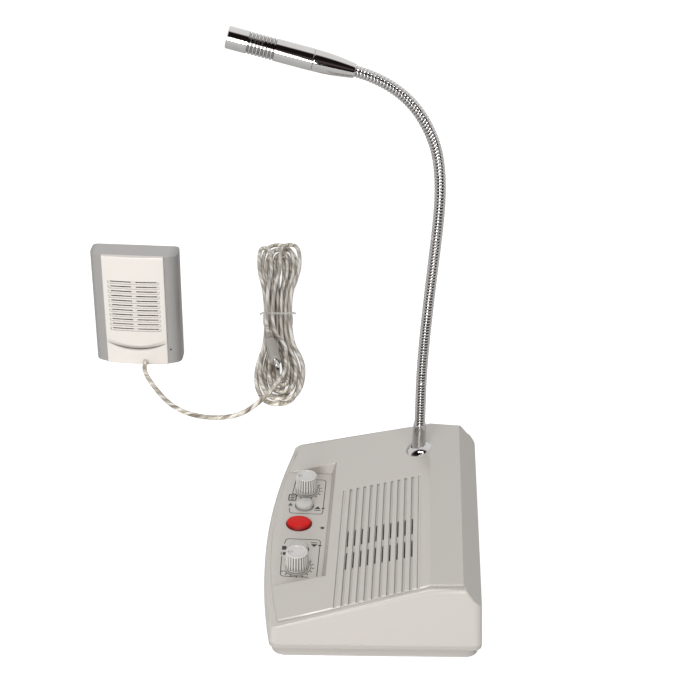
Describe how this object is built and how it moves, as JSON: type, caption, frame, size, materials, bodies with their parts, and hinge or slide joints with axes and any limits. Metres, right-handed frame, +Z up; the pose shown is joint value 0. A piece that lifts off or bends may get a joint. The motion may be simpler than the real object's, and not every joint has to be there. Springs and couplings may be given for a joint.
{
  "type": "counter window intercom",
  "caption": "Desk intercom console with a sloped control panel, speaker grille and gooseneck microphone, and a small outer speaker unit with a wound cord and plug.",
  "frame": {"origin": "the middle of the console's footprint, on the desk", "axes": "+X to the user's right, +Y from the user to the back, +Z up"},
  "size_m": [0.5284, 0.2852, 0.3223],
  "materials": {
    "console_silver": "satin",
    "outer_silver": "satin",
    "outer_light": "satin",
    "rubber": "matte",
    "steel": "satin",
    "chrome": "polished",
    "bright_head": "polished",
    "knob_silver": "satin",
    "talk_red": "gloss",
    "black_plastic": "matte",
    "white_plastic": "satin",
    "lamp": "gloss",
    "board": "satin",
    "cone_paper": "matte",
    "magnet": "satin",
    "can": "satin",
    "cord": "gloss",
    "tie": "gloss",
    "plug": "satin"
  },
  "bodies": {
    "base": {"upper_housing": "console_silver", "lower_housing": "console_silver", "rubber_pad": "rubber", "housing_screws": "steel", "control_board_screws": "steel", "main_board_screws": "steel", "speaker_screws": "steel", "control_board": "board", "main_board": "board", "capacitors": "can", "left_potentiometer": "steel", "right_potentiometer": "steel", "talk_switch": "black_plastic", "left_push_switch": "black_plastic", "right_push_switch": "black_plastic", "indicator_lamp": "lamp", "power_jack": "black_plastic", "line_jack": "black_plastic", "speaker_frame": "steel", "speaker_cone": "cone_paper", "speaker_magnet": "magnet", "neck_flange": "chrome", "neck_ferrule": "chrome", "neck_stud": "steel", "neck_washer": "steel", "neck_nut": "steel", "neck_root": "chrome", "outer_housing": "outer_silver", "outer_front_panel": "outer_light", "outer_back_plate": "outer_silver", "outer_screws": "steel", "outer_speaker_frame": "steel", "outer_speaker_cone": "cone_paper", "outer_speaker_magnet": "magnet", "outer_microphone": "black_plastic", "cord_grommet": "rubber", "cord_lead": "cord", "cord_hank": "cord", "hank_tie": "tie", "plug_body": "plug", "plug_tip": "chrome"},
    "left_knob": {"left_volume_knob": "knob_silver", "left_shaft": "steel"},
    "right_knob": {"right_volume_knob": "knob_silver", "right_shaft": "steel"},
    "talk": {"talk_button": "talk_red", "talk_plunger": "white_plastic"},
    "left_push": {"left_push_button": "knob_silver", "left_push_plunger": "white_plastic"},
    "right_push": {"right_push_button": "knob_silver", "right_push_plunger": "white_plastic"},
    "neck_1": {"neck_segment_1": "chrome"},
    "neck_2": {"neck_segment_2": "chrome"},
    "neck_3": {"neck_segment_3": "chrome"},
    "neck_4": {"neck_segment_4": "chrome"},
    "neck_5": {"neck_segment_5": "chrome", "mic_cone": "bright_head", "mic_barrel": "bright_head", "mic_capsule": "black_plastic", "mic_grille": "black_plastic"}
  },
  "joints": [
    {"name": "left_knob_turn", "type": "hinge", "parent": "base", "child": "left_knob", "pos_m": [-0.041, -0.0494, 0.0223], "axis": [0, 0, 1], "range_deg": [-150, 150]},
    {"name": "right_knob_turn", "type": "hinge", "parent": "base", "child": "right_knob", "pos_m": [0.038, -0.0494, 0.0223], "axis": [0, 0, 1], "range_deg": [-150, 150]},
    {"name": "talk_press", "type": "slide", "parent": "base", "child": "talk", "axis": [0, 0, -1], "range_m": [0, 0.0018], "stiffness_N_per_m": 400, "springref_m": -0.001},
    {"name": "left_push_press", "type": "slide", "parent": "base", "child": "left_push", "axis": [0, 0, -1], "range_m": [0, 0.0018], "stiffness_N_per_m": 400, "springref_m": -0.001},
    {"name": "right_push_press", "type": "slide", "parent": "base", "child": "right_push", "axis": [0, 0, -1], "range_m": [0, 0.0018], "stiffness_N_per_m": 400, "springref_m": -0.001},
    {"name": "neck_bend_1", "type": "hinge", "parent": "base", "child": "neck_1", "pos_m": [-0.0563, 0.02147, 0.07348], "axis": [1, 0, 0], "range_deg": [-25, 25]},
    {"name": "neck_bend_2", "type": "hinge", "parent": "neck_1", "child": "neck_2", "pos_m": [-0.0563, 0.02174, 0.1234], "axis": [0, 0.9993, -0.0382], "range_deg": [-25, 25]},
    {"name": "neck_bend_3", "type": "hinge", "parent": "neck_2", "child": "neck_3", "pos_m": [-0.0563, 0.02442, 0.17325], "axis": [1, 0, 0], "range_deg": [-25, 25]},
    {"name": "neck_bend_4", "type": "hinge", "parent": "neck_3", "child": "neck_4", "pos_m": [-0.0563, 0.02682, 0.22311], "axis": [0, 1, 0.0089], "range_deg": [-25, 25]},
    {"name": "neck_bend_5", "type": "hinge", "parent": "neck_4", "child": "neck_5", "pos_m": [-0.0563, 0.01544, 0.27104], "axis": [1, 0, 0], "range_deg": [-25, 25]}
  ]
}
